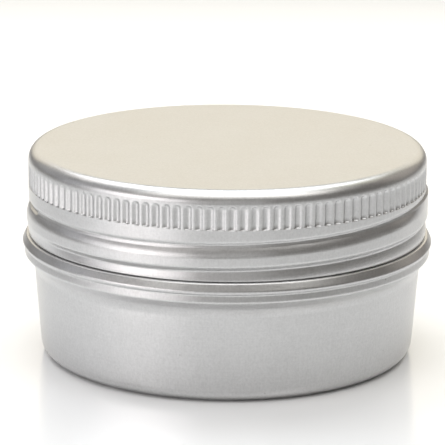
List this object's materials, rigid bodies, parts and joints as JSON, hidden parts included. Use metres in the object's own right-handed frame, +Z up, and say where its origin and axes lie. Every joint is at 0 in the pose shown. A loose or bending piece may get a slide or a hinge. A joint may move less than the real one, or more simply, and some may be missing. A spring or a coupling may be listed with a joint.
{
  "type": "screw lid tin",
  "caption": "Low round drawn aluminium tin with a rolled ring, a threaded neck and a knurled screw lid with a foam liner, for candles, balms and soap.",
  "frame": {"origin": "centre of the base, on the surface that the tin stands on", "axes": "+Z up along the axis of the tin, from the base to the lid; X and Y across the tin"},
  "size_m": [0.0702, 0.0702, 0.036],
  "materials": {
    "cup_metal": "satin, bare drawn sheet",
    "lid_metal": "satin, bare drawn sheet",
    "liner_foam": "fine closed-cell foam"
  },
  "bodies": {
    "tin": {"tin_body": "cup_metal"},
    "liner": {"foam_liner": "liner_foam"},
    "lid": {"screw_lid": "lid_metal"}
  },
  "joints": [
    {"name": "lid_lift", "type": "slide", "parent": "tin", "child": "liner", "axis": [0, 0, 1], "range_m": [0, 0.016]},
    {"name": "lid_turn", "type": "hinge", "parent": "liner", "child": "lid", "pos_m": [0, 0, 0.0285], "axis": [0, 0, 1], "range_deg": [0, 1440]}
  ],
  "couplings": [
    {"joint": "lid_lift", "follows": "lid_turn", "m_per_rad": 0.00063662}
  ]
}
